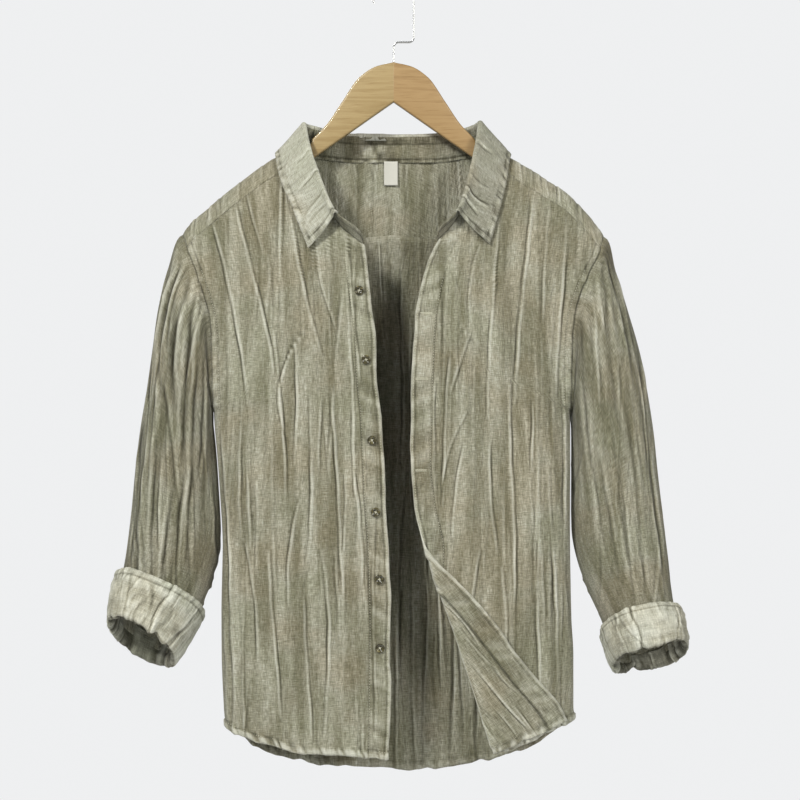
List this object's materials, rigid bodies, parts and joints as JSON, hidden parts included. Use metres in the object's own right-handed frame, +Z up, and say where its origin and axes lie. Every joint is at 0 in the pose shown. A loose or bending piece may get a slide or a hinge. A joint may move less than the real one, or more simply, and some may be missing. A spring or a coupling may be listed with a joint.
{
  "type": "crinkled shirt on hanger",
  "caption": "Crinkled long-sleeved shirt with rolled cuffs and a turned-back front corner, hanging open on a flat wooden hanger with a wire hook.",
  "frame": {"origin": "the point inside the top of the hanger's hook, where it rests on a rail", "axes": "+Z up; the shirt's front faces -Y; +X is the side with the buttonholes, the wearer's left"},
  "size_m": [0.7038, 0.0941, 0.9754],
  "materials": {
    "shirt_cloth": "crinkled double gauze in faded olive, slubby plain weave, matt",
    "rolled_cuff_cloth": "paler wrong side of the same cloth, matt",
    "button": "dark olive brown, polished",
    "label": "blank woven tape, matt",
    "wood_pale": "clear satin varnish on pale yellow wood",
    "wood_tan": "clear satin varnish on slightly browner wood",
    "hook_wire": "bright plated steel wire"
  },
  "bodies": {
    "root": {"front_button_side": "shirt_cloth", "front_buttonhole_side": "shirt_cloth", "facing_button_side": "shirt_cloth", "facing_buttonhole_side": "shirt_cloth", "back": "shirt_cloth", "yoke": "shirt_cloth", "sleeve_left": "shirt_cloth", "sleeve_right": "shirt_cloth", "collar_stand": "shirt_cloth", "collar_leaf": "shirt_cloth", "cuff_left": "rolled_cuff_cloth", "cuff_right": "rolled_cuff_cloth", "button_1": "button", "button_2": "button", "button_3": "button", "button_4": "button", "button_5": "button", "button_6": "button", "neck_label": "label", "hanger_arm_left": "wood_pale", "hanger_arm_right": "wood_tan", "hanger_hook": "hook_wire"}
  },
  "joints": []
}
